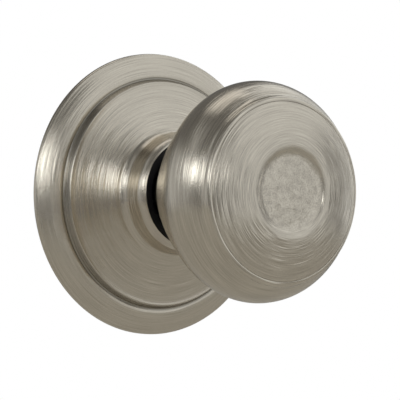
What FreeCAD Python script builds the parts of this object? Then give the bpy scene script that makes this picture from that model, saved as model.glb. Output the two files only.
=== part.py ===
import FreeCAD, Part

import math
import os
import re

import Sketcher

# Round passage knob with its rose: the outside half of a knob set for a 54 mm bored door.
# Frame: +Z up, the knob's axis is Y, the knob points along -Y and the door's face is the plane Y = 0.
# "Forward" below is the distance in front of the door's face, so forward = -Y.

SIZES = (
    # rose cover, pressed from sheet
    ("rose_radius", 34.0, "rose, outer radius"),
    ("rose_wall", 1.0, "rose, sheet thickness"),
    ("rim_edge", 0.45, "rose, straight part of the rim's edge"),
    ("rim_round", 0.8, "rose, rounding of the rim's edge"),
    ("rim_outer", 33.44, "rose, radius where the rounding meets the rim band"),
    ("rim_foot", 1.17, "rose, forward place of that"),
    ("rim_bulge", 16.0, "rose, radius of the rim band's crown"),
    ("rim_inner", 28.1, "rose, inner radius of the rim band"),
    ("rim_rise", 3.15, "rose, forward end of the rim band"),
    ("step_radius", 26.75, "rose, radius at the top of the slanted step"),
    ("step_rise", 4.45, "rose, top of the slanted step"),
    ("step_round", 0.7, "rose, rounding at the top of the step"),
    ("cone_radius", 26.05, "rose, radius where the cone starts"),
    ("cone_rise", 4.87, "rose, forward place of that"),
    ("cone_hollow", 60.0, "rose, radius of the hollow cone's curve"),
    ("collar_foot", 16.2, "rose, where the cone turns into the collar"),
    ("collar_foot_rise", 8.35, "rose, forward place of the collar's foot"),
    ("collar_fillet", 2.3, "rose, fillet between cone and collar"),
    ("collar_wall", 14.4, "rose, foot of the collar's wall"),
    ("collar_wall_rise", 10.3, "rose, forward place of the wall's foot"),
    ("collar_top", 13.95, "rose, where the wall turns into the lip"),
    ("collar_top_rise", 12.9, "rose, forward place of the wall's top"),
    ("lip_round", 2.3, "rose, rounding of the lip"),
    ("rose_hole", 12.6, "rose, radius of the hole"),
    ("rose_front", 15.06, "rose, forward end of the lip"),
    ("lip_under", 13.91, "rose, underside of the lip at the hole"),
    ("collar_under", 12.8, "rose, underside of the lip at the wall"),
    ("wall_under", 10.2, "rose, foot of the collar's wall inside"),
    ("foot_under_radius", 15.85, "rose, where the cone turns into the collar inside"),
    ("foot_under", 7.4, "rose, forward place of that"),
    ("step_under_radius", 25.75, "rose, top of the step inside"),
    ("step_under", 3.9, "rose, forward place of that"),
    ("band_under_radius", 27.6, "rose, inner end of the rim band underneath"),
    ("band_under", 2.15, "rose, forward place of that"),
    ("rim_under", 0.75, "rose, underside of the rim band at the edge"),
    # mounting plate, hub and bushing
    ("plate_radius", 30.0, "plate, radius of the flange on the door"),
    ("plate_wall", 1.4, "plate, sheet thickness"),
    ("cup_radius", 26.2, "plate, radius of the dish that enters the bore"),
    ("cup_depth", 3.4, "plate, depth of the dish behind the door's face"),
    ("bend", 1.2, "plate and cage, outer bend radius"),
    ("hub_hole", 10.25, "plate, radius of the hole for the hub"),
    ("press_gap", 0.02, "gap all round a pressed, staked or riveted fit"),
    ("overcut", 1.0, "how far a cut runs past the face it leaves by"),
    ("hub_radius", 10.2, "hub, outer radius"),
    ("hub_bore", 8.35, "hub, bore radius"),
    ("hub_front", 12.0, "hub, forward end"),
    ("hub_flange", 11.1, "hub, flange radius"),
    ("bush_radius", 8.3, "bushing, outer radius"),
    ("bush_bore", 7.25, "bushing, bore radius"),
    ("bush_flange", 11.8, "bushing, flange radius"),
    ("bush_flange_back", 12.05, "bushing, back of the flange"),
    ("bush_flange_front", 12.85, "bushing, front of the flange"),
    ("bush_back", 2.8, "bushing, rear end behind the door's face"),
    # posts
    ("post_offset", 19.05, "posts, distance from the knob's axis (38.1 mm centres)"),
    ("post_radius", 3.2, "posts, radius"),
    ("post_collar", 3.95, "posts, collar radius"),
    ("post_collar_back", 4.6, "posts, back of the collar"),
    ("post_back", 26.0, "posts, rear end behind the door's face"),
    ("post_neck", 2.6, "posts, staked neck radius"),
    ("post_head", 3.6, "posts, staked head radius"),
    ("post_head_front", 1.2, "posts, front of the staked head behind the door's face"),
    ("post_thread", 1.65, "posts, core radius of the M4 thread"),
    ("post_thread_depth", 18.0, "posts, depth of the thread"),
    ("post_drill_point", 1.0, "posts, depth of the drill's point"),
    ("post_chamfer", 0.6, "posts, chamfer at the rear end"),
    # spring cage, its rivets and the stop pins
    ("cage_ear", 21.5, "cage, radius of the flange"),
    ("cage_half_height", 10.5, "cage, half height of the flange between the posts"),
    ("cage_wall", 1.0, "cage, sheet thickness"),
    ("cage_radius", 14.9, "cage, outer radius"),
    ("cage_back", 11.2, "cage, rear face behind the door's face"),
    ("cage_hole", 7.5, "cage, radius of the hole for the sleeve"),
    ("cage_tab_inner", 12.8, "cage, inner radius of the spring tab"),
    ("cage_tab_half", 1.7, "cage, half width of the spring tab"),
    ("cage_tab_front", 6.5, "cage, front of the spring tab behind the door's face"),
    ("rivet_radius", 1.3, "rivets, shank radius"),
    ("rivet_head", 2.2, "rivets, head radius"),
    ("rivet_head_rise", 1.0, "rivets, height of the head"),
    ("rivet_x", 17.8, "cage rivets, distance from the axis along X"),
    ("rivet_z", 6.5, "cage rivets, distance from the axis along Z"),
    ("stop_circle", 11.6, "stop pins, distance from the knob's axis"),
    ("stop_angle", 79.0, "stop pins, angle from straight up"),
    ("stop_radius", 1.4, "stop pins, radius"),
    ("stop_back", 6.1, "stop pins, rear end behind the door's face"),
    # rose clips
    ("clip_width", 6.0, "clips, width"),
    ("clip_wall", 0.6, "clips, strip thickness"),
    ("clip_inner", 17.2, "clips, inner end of the foot"),
    ("clip_leg", 23.4, "clips, radius of the outer face of the leg"),
    ("clip_hook", 26.9, "clips, radius of the hook's tip"),
    ("clip_hook_front", 2.6, "clips, front of the hook"),
    ("clip_rivet_circle", 19.8, "clip rivets, distance from the knob's axis"),
    # return spring and its spool
    ("spring_circle", 9.6, "return spring, mean radius of the coil"),
    ("spring_wire", 0.6, "return spring, wire radius"),
    ("spring_pitch", 1.3, "return spring, pitch"),
    ("spring_turns", 2.0, "return spring, whole turns"),
    ("spring_front", 6.85, "return spring, front leg behind the door's face"),
    ("spring_leg_x", 2.7, "return spring, distance of each leg from the middle"),
    ("spring_leg_end", 13.1, "return spring, outer end of the legs"),
    ("spool_bore", 7.5, "spool, bore radius"),
    ("spool_radius", 8.5, "spool, radius"),
    ("spool_front", 6.3, "spool, front end behind the door's face"),
    ("spool_back", 10.1, "spool, rear end behind the door's face"),
    # drive sleeve
    ("sleeve_radius", 7.2, "sleeve, radius"),
    ("sleeve_bore", 5.2, "sleeve, bore radius in front"),
    ("sleeve_front", 36.0, "sleeve, forward end"),
    ("sleeve_web", 13.8, "sleeve, forward end of its solid part"),
    ("sleeve_back", 13.8, "sleeve, rear end behind the door's face"),
    ("shoulder_radius", 8.8, "sleeve, radius of the shoulder"),
    ("shoulder_back", 13.65, "sleeve, back of the shoulder"),
    ("shoulder_front", 14.2, "sleeve, front of the shoulder"),
    ("groove_radius", 6.2, "sleeve, radius of the ring groove"),
    ("groove_front", 11.95, "sleeve, front of the groove behind the door's face"),
    ("groove_back", 13.0, "sleeve, back of the groove behind the door's face"),
    ("flat_offset", 6.2, "sleeve, distance of the cam's flats from the axis"),
    ("flat_front", 3.9, "sleeve, where the flats start behind the door's face"),
    ("key_width", 2.0, "sleeve, width of the key"),
    ("key_root", 6.2, "sleeve, inner end of the key"),
    ("key_radius", 8.3, "sleeve, outer radius of the key"),
    ("key_back", 16.0, "sleeve, rear end of the key"),
    ("key_front", 34.0, "sleeve, forward end of the key"),
    ("window_back", 15.3, "catch window, rear end"),
    ("window_front", 19.1, "catch window, forward end"),
    ("window_half", 2.7, "catch window, half width"),
    # washers, ring, cam, spindle
    ("washer_bore", 7.4, "washers, bore radius"),
    ("thrust_radius", 9.6, "thrust washer, radius"),
    ("thrust_back", 13.0, "thrust washer, back"),
    ("thrust_front", 13.5, "thrust washer, front"),
    ("end_radius", 10.5, "end washer, radius"),
    ("end_front", 11.4, "end washer, front behind the door's face"),
    ("end_back", 11.9, "end washer, back behind the door's face"),
    ("ring_bore", 6.25, "retaining ring, bore radius"),
    ("ring_radius", 9.4, "retaining ring, radius"),
    ("ring_front", 12.0, "retaining ring, front behind the door's face"),
    ("ring_back", 12.9, "retaining ring, back behind the door's face"),
    ("ring_gap_half", 4.4, "retaining ring, half width of its opening"),
    ("cam_radius", 9.6, "cam, radius of the disc"),
    ("cam_front", 4.0, "cam, front behind the door's face"),
    ("cam_back", 6.0, "cam, back behind the door's face"),
    ("cam_bore", 7.25, "cam, bore radius"),
    ("cam_flat", 6.25, "cam, distance of the flats in the bore"),
    ("cam_root", 7.75, "cam, inner end of the arm and the tab"),
    ("cam_arm", 13.2, "cam, reach of the stop arm"),
    ("cam_arm_half", 3.0, "cam, half width of the stop arm"),
    ("cam_tab_outer", 12.3, "cam, outer radius of the spring tab"),
    ("cam_tab_inner", 11.1, "cam, inner radius of the spring tab"),
    ("cam_tab_half", 1.9, "cam, half width of the spring tab"),
    ("cam_tab_back", 9.7, "cam, rear end of the spring tab behind the door's face"),
    ("spindle_radius", 4.0, "spindle, radius"),
    ("spindle_flat", 1.6, "spindle, height of the flat above the axis"),
    ("spindle_front", 12.5, "spindle, forward end"),
    ("spindle_back", 38.0, "spindle, rear end behind the door's face"),
    ("spindle_chamfer", 1.0, "spindle, chamfer at the rear end"),
    ("spindle_play", 0.05, "spindle, clearance in the sleeve all round"),
    ("pin_radius", 1.0, "cross pin, radius"),
    ("pin_forward", 9.0, "cross pin, forward place"),
    ("pin_half", 7.1, "cross pin, half length"),
    # knob
    ("shank_bore", 7.3, "shank, bore radius"),
    ("shank_radius", 8.95, "shank, radius"),
    ("shank_back", 14.35, "shank, rear end"),
    ("shank_front", 44.0, "shank, forward end"),
    ("shank_flange", 12.0, "shank, flange radius"),
    ("shank_flange_wall", 1.4, "shank, flange thickness"),
    ("shank_catch_half", 2.9, "shank, half width of the catch window"),
    ("keyway_half", 1.15, "shank, half width of the keyway"),
    ("keyway_front", 35.0, "shank, forward end of the keyway"),
    ("stiff_wall", 1.2, "stiffener, sheet thickness"),
    ("stiff_radius", 23.2, "stiffener, outer radius"),
    ("stiff_back", 40.0, "stiffener, rear end of the rim"),
    ("stiff_disc", 45.2, "stiffener, front of the disc"),
    ("stiff_foot", 12.6, "stiffener, foot of the raised middle"),
    ("stiff_top", 8.0, "stiffener, radius of the raised middle's top"),
    ("stiff_middle", 4.0, "stiffener, radius of the hole in the middle"),
    ("stiff_front", 51.6, "stiffener, front of the raised middle"),
    ("stiff_hole", 2.6, "stiffener, radius of the lightening holes"),
    ("stiff_hole_circle", 17.4, "stiffener, distance of the holes from the axis"),
    ("knob_wall", 1.0, "knob, sheet thickness"),
    ("neck_radius", 10.0, "knob, neck radius"),
    ("neck_back", 14.8, "knob, rear end of the neck"),
    ("neck_front", 16.1, "knob, forward end of the neck"),
    ("neck_kink", 10.3, "knob, radius where the back cone starts"),
    ("neck_kink_forward", 16.35, "knob, forward place where the back cone starts"),
    ("neck_inner_front", 16.3, "knob, forward end of the neck inside"),
    ("neck_inner_kink", 9.5, "knob, radius where the back cone starts inside"),
    ("neck_inner_forward", 16.9, "knob, forward place of that"),
    ("back_bulge", 130.0, "knob, radius of the back cone's curve"),
    ("back_end", 24.2, "knob, radius where the back cone meets the equator's curve"),
    ("back_end_forward", 38.3, "knob, forward place of that"),
    ("equator_back_round", 7.9, "knob, radius of the equator's curve behind"),
    ("equator_radius", 25.06, "knob, greatest radius"),
    ("equator_forward", 41.9, "knob, forward place of the equator"),
    ("equator_front_round", 9.5, "knob, radius of the equator's curve in front"),
    ("shoulder_end", 21.55, "knob, radius where the shoulder meets the bead"),
    ("shoulder_end_forward", 49.27, "knob, forward place of that"),
    ("bead_foot", 21.25, "knob, outer radius of the bead"),
    ("bead_foot_forward", 50.75, "knob, forward place of the bead's foot"),
    ("bead_round", 0.7, "knob, rounding of the bead"),
    ("bead_inner", 20.05, "knob, inner radius of the bead"),
    ("bead_inner_forward", 51.4, "knob, forward place of the bead's inner edge"),
    ("lip_back", 50.3, "knob, back of the bead's lip"),
    ("release_hole", 1.4, "knob, radius of the release hole in the neck"),
    ("release_forward", 17.2, "knob, forward place of the release hole"),
    ("release_reach", 13.0, "knob, depth of that cut from the axis"),
    ("cap_radius", 19.95, "cap, outer radius"),
    ("cap_edge", 51.25, "cap, forward end of its skirt"),
    ("cap_edge_round", 0.3, "cap, rounding of that edge"),
    ("cap_skirt_back", 48.6, "cap, rear end of its skirt"),
    ("cap_bulge", 42.0, "cap, radius of the dome's curve"),
    ("dish_rim", 10.3, "cap, radius where the dome meets the dish's rim"),
    ("dish_rim_forward", 53.85, "cap, forward place of that"),
    ("dish_rim_round", 1.2, "cap, rounding of the dish's rim"),
    ("dish_wall", 9.1, "cap, radius where the dish's wall starts"),
    ("dish_wall_forward", 53.75, "cap, forward place of that"),
    ("dish_fillet", 1.0, "cap, fillet between the dish's wall and floor"),
    ("dish_fillet_radius", 8.3, "cap, radius where the fillet starts"),
    ("dish_fillet_forward", 53.05, "cap, forward place of that"),
    ("dish_under", 8.1, "cap, radius of the dish's floor inside"),
    ("dish_foot", 7.7, "cap, radius of the dish's floor"),
    ("dish_foot_forward", 52.85, "cap, forward place of the floor's edge"),
    ("dish_middle", 53.12, "cap, forward place of the floor's middle"),
    # knob catch and its spring
    ("catch_tip", 8.5, "catch, radius of the tip"),
    ("catch_back", 15.5, "catch, rear side"),
    ("catch_front", 18.9, "catch, front side"),
    ("catch_half", 2.4, "catch, half width"),
    ("catch_foot", 2.6, "catch, bottom of the foot"),
    ("catch_foot_top", 3.8, "catch, top of the foot"),
    ("catch_foot_half", 3.2, "catch, half width of the foot"),
    ("catch_foot_back", 14.7, "catch, rear side of the foot"),
    ("catch_foot_front", 19.7, "catch, front side of the foot"),
    ("catch_round", 0.5, "catch, rounding of the tip"),
    ("catch_spring_circle", 1.6, "catch spring, mean radius"),
    ("catch_spring_wire", 0.25, "catch spring, wire radius"),
    ("catch_spring_back", 4.5, "catch spring, seat across the bore"),
    ("catch_spring_front", 2.3, "catch spring, end under the catch"),
    ("catch_spring_pitch", 1.4, "catch spring, pitch"),
)
VALUES = {alias: value for alias, value, note in SIZES}

CLIPS = 4
LIGHTENING_HOLES = 6
CLIP_X = "clip_rivet_circle / sqrt(2)"

SAME_PLACE = 1e-6
LEAST_CUT = 1e-3

doc = FreeCAD.newDocument("door_knob")
sheet = doc.addObject("Spreadsheet::Sheet", "sizes")
for row, (alias, value, note) in enumerate(SIZES, start=1):
    sheet.set("A%d" % row, note)
    sheet.set("B%d" % row, str(value))
    sheet.setAlias("B%d" % row, alias)
doc.recompute()

NODES = []


# ---- helpers -------------------------------------------------------------------------------

def bound(text):
    """The expression with every alias read from the sheet."""
    return re.sub(r"[a-z_]+", lambda m: "sizes." + m[0] if m[0] in VALUES else m[0], str(text))


def number(text):
    """The expression's value, as the sheet works it out."""
    return float(sheet.evalExpression(bound(text)))


def bind(item, name, text):
    """Let a property follow the expression."""
    item.setExpression(name, bound(text))


def node(name):
    """A new body whose label is the name of the file it is written to."""
    made = doc.addObject("PartDesign::Body", name)
    made.Label = name
    NODES.append(made)
    return made


def origin(body, role):
    """One of the body's own origin planes or axes."""
    return next(item for item in body.Origin.OriginFeatures if item.Role == role)


def sketch(body, role, lift="0"):
    """A sketch on one of the body's origin planes, lifted along the plane's normal."""
    made = body.newObject("Sketcher::SketchObject", body.Label + "_sketch")
    made.AttachmentSupport = (origin(body, role), [""])
    made.MapMode = "FlatFace"
    bind(made, "AttachmentOffset.Base.z", lift)
    return made


def draw(where, corners):
    """A closed outline. A corner is (x, y), or (x, y, radius, side) where the run that leaves it
    is an arc: side 1 bulges to the right of the way along the outline, side -1 to the left."""
    points = [FreeCAD.Vector(number(c[0]), number(c[1]), 0) for c in corners]
    first = where.GeometryCount
    for index, corner in enumerate(corners):
        start = points[index]
        end = points[(index + 1) % len(points)]
        if len(corner) == 2:
            where.addGeometry(Part.LineSegment(start, end))
            continue
        chord = end - start
        radius = number(corner[2])
        sagitta = radius - math.sqrt(radius ** 2 - (chord.Length / 2) ** 2)
        aside = FreeCAD.Vector(chord.y, -chord.x, 0).normalize() * corner[3]
        where.addGeometry(Part.Arc(start, (start + end) / 2 + aside * sagitta, end))
    # an arc's own start and end may be swapped, so each joint asks which end lies on the corner
    for index, corner in enumerate(corners):
        here = first + index
        before = first + (index - 1) % len(corners)
        near = end_at(where, here, points[index])
        where.addConstraint(Sketcher.Constraint(
            "Coincident", before, end_at(where, before, points[index]), here, near))
        for kind, text in (("DistanceX", corner[0]), ("DistanceY", corner[1])):
            rule = where.addConstraint(Sketcher.Constraint(kind, -1, 1, here, near, number(text)))
            bind(where, "Constraints[%d]" % rule, text)
        if len(corner) > 2:
            rule = where.addConstraint(Sketcher.Constraint("Radius", here, number(corner[2])))
            bind(where, "Constraints[%d]" % rule, corner[2])


def end_at(where, index, point):
    """Which end of a line or arc lies on the point: 1 is its start, 2 its end."""
    return 1 if where.getPoint(index, 1).distanceToPoint(point) < SAME_PLACE else 2


def circle(where, x, y, radius):
    """A circle whose centre and radius are bound."""
    index = where.addGeometry(Part.Circle(
        FreeCAD.Vector(number(x), number(y), 0), FreeCAD.Vector(0, 0, 1), number(radius)))
    for kind, text in (("DistanceX", x), ("DistanceY", y)):
        rule = where.addConstraint(Sketcher.Constraint(kind, -1, 1, index, 3, number(text)))
        bind(where, "Constraints[%d]" % rule, text)
    rule = where.addConstraint(Sketcher.Constraint("Radius", index, number(radius)))
    bind(where, "Constraints[%d]" % rule, radius)


def rectangle(where, left, right, bottom, top):
    """A rectangle whose sides are bound."""
    draw(where, [(left, bottom), (right, bottom), (right, top), (left, top)])


def turned(body, corners, lift="0"):
    """A solid turned about the knob's axis, or about a parallel to it that is lifted along Z.
    Corners are (radius, forward), and those that start an arc have its radius and side too."""
    where = sketch(body, "XY_Plane", lift)
    flipped = [c[:1] + ("-(%s)" % c[1],) + ((c[2], -c[3]) if len(c) > 2 else ()) for c in corners]
    draw(where, flipped)
    made = body.newObject("PartDesign::Revolution", body.Label + "_turned")
    made.Profile = where
    made.ReferenceAxis = (where, ["V_Axis"])
    made.Angle = 360
    return made


def pad(body, shape, back, length):
    """Pad along the knob's axis. The sketch is seen from the front and lies at forward = back."""
    where = sketch(body, "XZ_Plane", back)
    shape(where)
    made = body.newObject("PartDesign::Pad", body.Label + "_pad")
    made.Profile = where
    bind(made, "Length", length)
    return made


def pocket(body, shape, front, depth):
    """Cut backwards from forward = front."""
    where = sketch(body, "XZ_Plane", front)
    shape(where)
    made = body.newObject("PartDesign::Pocket", body.Label + "_pocket")
    made.Profile = where
    bind(made, "Length", depth)
    cuts(made)
    return made


def side_pocket(body, shape, reach):
    """Cut from the middle plane sideways along +X where reach > 0, or along -X."""
    where = sketch(body, "YZ_Plane")
    shape(where)
    made = body.newObject("PartDesign::Pocket", body.Label + "_window")
    made.Profile = where
    made.Reversed = number(reach) > 0
    bind(made, "Length", "abs(%s)" % reach)
    cuts(made)


def cuts(feature):
    """Stop where a pocket takes nothing away."""
    doc.recompute()
    before = feature.BaseFeature.Shape.Volume
    if not feature.Shape.Volume < before - LEAST_CUT:
        raise RuntimeError(feature.Name + " cuts nothing")


def around(body, features, count):
    """Repeat features about the knob's axis."""
    made = body.newObject("PartDesign::PolarPattern", body.Label + "_pattern")
    made.Originals = features if isinstance(features, list) else [features]
    made.Axis = (origin(body, "Y_Axis"), [""])
    made.Occurrences = count
    body.Tip = made


def mirrored(body, features):
    """Repeat features below the horizontal plane."""
    made = body.newObject("PartDesign::Mirrored", body.Label + "_mirrored")
    made.Originals = features
    made.MirrorPlane = (origin(body, "XY_Plane"), [""])
    body.Tip = made


def washer(name, outer, bore, front, back):
    """A flat ring. Front and back are forward distances."""
    body = node(name)
    turned(body, [(bore, back), (outer, back), (outer, front), (bore, front)])
    return body


# ---- fixed half ----------------------------------------------------------------------------

def rose_cover():
    """Pressed cover: crowned rim, slanted step, hollow cone, collar with a rounded lip."""
    body = node("rose_cover")
    turned(body, [
        ("rose_radius", "0"),
        ("rose_radius", "rim_edge", "rim_round", 1),
        ("rim_outer", "rim_foot", "rim_bulge", 1),
        ("rim_inner", "rim_rise"),
        ("step_radius", "step_rise", "step_round", 1),
        ("cone_radius", "cone_rise", "cone_hollow", -1),
        ("collar_foot", "collar_foot_rise", "collar_fillet", -1),
        ("collar_wall", "collar_wall_rise"),
        ("collar_top", "collar_top_rise", "lip_round", 1),
        ("rose_hole", "rose_front"),
        ("rose_hole", "lip_under", "lip_round - rose_wall", -1),
        ("collar_top - rose_wall", "collar_under"),
        ("collar_wall - rose_wall", "wall_under", "collar_fillet + rose_wall", 1),
        ("foot_under_radius", "foot_under", "cone_hollow", 1),
        ("step_under_radius", "step_under"),
        ("band_under_radius", "band_under", "rim_bulge - rose_wall", -1),
        ("rose_radius - rose_wall", "rim_under"),
        ("rose_radius - rose_wall", "0"),
    ])


def mounting_plate():
    """Dished plate: the flange lies on the door, the dish drops into the bore."""
    body = node("mounting_plate")
    turned(body, [
        ("hub_hole", "-cup_depth"),
        ("cup_radius - bend", "-cup_depth", "bend", 1),
        ("cup_radius", "-cup_depth + bend"),
        ("cup_radius", "0"),
        ("plate_radius", "0"),
        ("plate_radius", "plate_wall"),
        ("cup_radius - plate_wall + bend", "plate_wall", "bend", 1),
        ("cup_radius - plate_wall", "plate_wall - bend"),
        ("cup_radius - plate_wall", "-cup_depth + plate_wall"),
        ("hub_hole", "-cup_depth + plate_wall"),
    ])

    def post_holes(where):
        for sign in ("", "-"):
            circle(where, "0", sign + "post_offset", "post_neck + press_gap")
    pocket(body, post_holes, "0", "cup_depth + overcut")

    def pin_holes(where):
        for x in ("rivet_x", "-rivet_x"):
            for z in ("rivet_z", "-rivet_z"):
                circle(where, x, z, "rivet_radius + press_gap")
        for side in ("", "-"):
            circle(where, side + "stop_circle * sin(stop_angle)",
                   "stop_circle * cos(stop_angle)", "stop_radius + press_gap")
    pocket(body, pin_holes, "0", "cup_depth + overcut")

    hole = pocket(body, lambda where: circle(where, CLIP_X, CLIP_X, "rivet_radius + press_gap"),
                  "0", "cup_depth + overcut")
    around(body, hole, CLIPS)


def bearing_hub():
    """Turned steel hub, staked into the plate."""
    body = node("bearing_hub")
    turned(body, [
        ("hub_bore", "-cup_depth"),
        ("hub_radius", "-cup_depth"),
        ("hub_radius", "-cup_depth + plate_wall"),
        ("hub_flange", "-cup_depth + plate_wall"),
        ("hub_flange", "-cup_depth + plate_wall * 2"),
        ("hub_radius", "-cup_depth + plate_wall * 2"),
        ("hub_radius", "hub_front"),
        ("hub_bore", "hub_front"),
    ])


def hub_bushing():
    """Black nylon bushing with a flange that closes the rose's hole."""
    body = node("hub_bushing")
    turned(body, [
        ("bush_bore", "-bush_back"),
        ("bush_radius", "-bush_back"),
        ("bush_radius", "bush_flange_back"),
        ("bush_flange", "bush_flange_back"),
        ("bush_flange", "bush_flange_front"),
        ("bush_bore", "bush_flange_front"),
    ])


def screw_posts():
    """Two posts, staked into the plate, threaded from behind."""
    body = node("screw_posts")
    post = turned(body, [
        ("0", "-post_head_front"),
        ("post_head", "-post_head_front"),
        ("post_head", "-cup_depth + plate_wall"),
        ("post_neck", "-cup_depth + plate_wall"),
        ("post_neck", "-cup_depth"),
        ("post_collar", "-cup_depth"),
        ("post_collar", "-post_collar_back"),
        ("post_radius", "-post_collar_back"),
        ("post_radius", "-post_back + post_chamfer"),
        ("post_radius - post_chamfer", "-post_back"),
        ("post_thread", "-post_back"),
        ("post_thread", "-post_back + post_thread_depth"),
        ("0", "-post_back + post_thread_depth + post_drill_point"),
    ], lift="post_offset")
    mirrored(body, [post])


def spring_cage():
    """Pressed housing for the return spring, with a flange cut off between the posts."""
    body = node("spring_cage")

    def flange(where):
        half = "cage_half_height"
        side = "sqrt(cage_ear ^ 2 - cage_half_height ^ 2)"
        draw(where, [
            (side, "-" + half, "cage_ear", 1),
            (side, half),
            ("-" + side, half, "cage_ear", 1),
            ("-" + side, "-" + half),
        ])
    pad(body, flange, "-cup_depth - cage_wall", "cage_wall")
    pocket(body, lambda where: circle(where, "0", "0", "cage_radius - cage_wall"),
           "-cup_depth", "cage_wall + overcut")

    def rivet_holes(where):
        for x in ("rivet_x", "-rivet_x"):
            for z in ("rivet_z", "-rivet_z"):
                circle(where, x, z, "rivet_radius + press_gap")
    pocket(body, rivet_holes, "-cup_depth", "cage_wall + overcut")
    turned(body, [
        ("cage_hole", "-cage_back"),
        ("cage_radius - bend", "-cage_back", "bend", 1),
        ("cage_radius", "-cage_back + bend"),
        ("cage_radius", "-cup_depth"),
        ("cage_radius - cage_wall", "-cup_depth"),
        ("cage_radius - cage_wall", "-cage_back + cage_wall"),
        ("cage_hole", "-cage_back + cage_wall"),
    ])
    pad(body, lambda where: rectangle(where, "-cage_tab_half", "cage_tab_half",
                                      "-cage_radius + cage_wall / 2", "-cage_tab_inner"),
        "-cage_back + cage_wall / 2", "cage_back - cage_tab_front - cage_wall / 2")


def rivets(body, x, z, front, back):
    """A rivet along the knob's axis: shank and two heads. Front and back are the gripped faces."""
    shank = pad(body, lambda where: circle(where, x, z, "rivet_radius"), back,
                "(%s) - (%s)" % (front, back))
    head = pad(body, lambda where: circle(where, x, z, "rivet_head"), front, "rivet_head_rise")
    tail = pad(body, lambda where: circle(where, x, z, "rivet_head"),
               "(%s) - rivet_head_rise" % back, "rivet_head_rise")
    return [shank, head, tail]


def cage_rivets():
    """Four rivets that hold the cage's flange on the plate."""
    body = node("cage_rivets")
    for x in ("rivet_x", "-rivet_x"):
        for z in ("rivet_z", "-rivet_z"):
            rivets(body, x, z, "-cup_depth + plate_wall", "-cup_depth - cage_wall")


def stop_pins():
    """Two pins that the cam's arm runs against."""
    body = node("stop_pins")

    def pins(where):
        for side in ("", "-"):
            circle(where, side + "stop_circle * sin(stop_angle)",
                   "stop_circle * cos(stop_angle)", "stop_radius")
    pad(body, pins, "-stop_back", "stop_back - cup_depth + plate_wall")


def rose_clips():
    """Four leaf clips on the plate that grip the rose inside its step."""
    body = node("rose_clips")
    where = sketch(body, "XY_Plane")
    where.AttachmentOffset = FreeCAD.Placement(
        FreeCAD.Vector(), FreeCAD.Rotation(FreeCAD.Vector(0, 1, 0), 360 / CLIPS / 2))
    floor = "(cup_depth - plate_wall)"
    draw(where, [
        ("clip_inner", floor),
        ("clip_inner", floor + " - clip_wall"),
        ("clip_leg - clip_wall", floor + " - clip_wall"),
        ("clip_leg - clip_wall", "-clip_hook_front"),
        ("clip_hook", "-clip_hook_front"),
        ("clip_hook", "-clip_hook_front + clip_wall"),
        ("clip_leg", "-clip_hook_front + clip_wall"),
        ("clip_leg", floor),
    ])
    leaf = body.newObject("PartDesign::Pad", "clip_leaf")
    leaf.Profile = where
    leaf.Midplane = True
    bind(leaf, "Length", "clip_width")
    hole = pocket(body, lambda at: circle(at, CLIP_X, "-" + CLIP_X, "rivet_radius + press_gap"),
                  "0", "cup_depth")
    around(body, [leaf, hole], CLIPS)


def clip_rivets():
    """Four rivets that hold the clips on the plate."""
    body = node("clip_rivets")
    parts = rivets(body, CLIP_X, CLIP_X, "-cup_depth + plate_wall + clip_wall", "-cup_depth")
    around(body, parts, CLIPS)


def spring_spool():
    """Nylon ring that the return spring is wound on."""
    washer("spring_spool", "spool_radius", "spool_bore", "-spool_front", "-spool_back")


def coil(radius, wire, pitch, turns, start):
    """A wire coil about Z that starts at the angle start, in degrees, and rises."""
    path = Part.Wire(Part.makeHelix(pitch, pitch * turns, radius).Edges)
    profile = Part.Wire(Part.makeCircle(wire, FreeCAD.Vector(radius, 0, 0),
                                        FreeCAD.Vector(0, 1, 0)))
    solid = path.makePipeShell([profile], True, True)
    solid.rotate(FreeCAD.Vector(), FreeCAD.Vector(0, 0, 1), start)
    return solid


def return_spring():
    """Torsion spring: two turns and two straight legs, one on each side of the tabs."""
    circle_radius = number("spring_circle")
    wire = number("spring_wire")
    leg_x = number("spring_leg_x")
    aside = math.degrees(math.asin(leg_x / circle_radius))
    turns = number("spring_turns") + 2 * aside / 360
    rise = number("spring_pitch") * turns
    foot = math.sqrt(circle_radius ** 2 - leg_x ** 2)
    length = number("spring_leg_end") - foot
    shape = coil(circle_radius, wire, number("spring_pitch"), turns, -90 - aside)
    for x, height in ((-leg_x, 0), (leg_x, rise)):
        place = FreeCAD.Vector(x, -foot, height)
        shape = shape.fuse(Part.makeSphere(wire, place))
        shape = shape.fuse(Part.makeCylinder(wire, length, place, FreeCAD.Vector(0, -1, 0)))
    # Z becomes forward, and the far leg ends up behind
    made = doc.addObject("Part::Feature", "return_spring")
    made.Label = "return_spring"
    made.Shape = shape
    made.Placement = FreeCAD.Placement(
        FreeCAD.Vector(0, number("spring_front") + rise, 0),
        FreeCAD.Rotation(FreeCAD.Vector(1, 0, 0), 90))
    NODES.append(made)


# ---- turning half --------------------------------------------------------------------------

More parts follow.
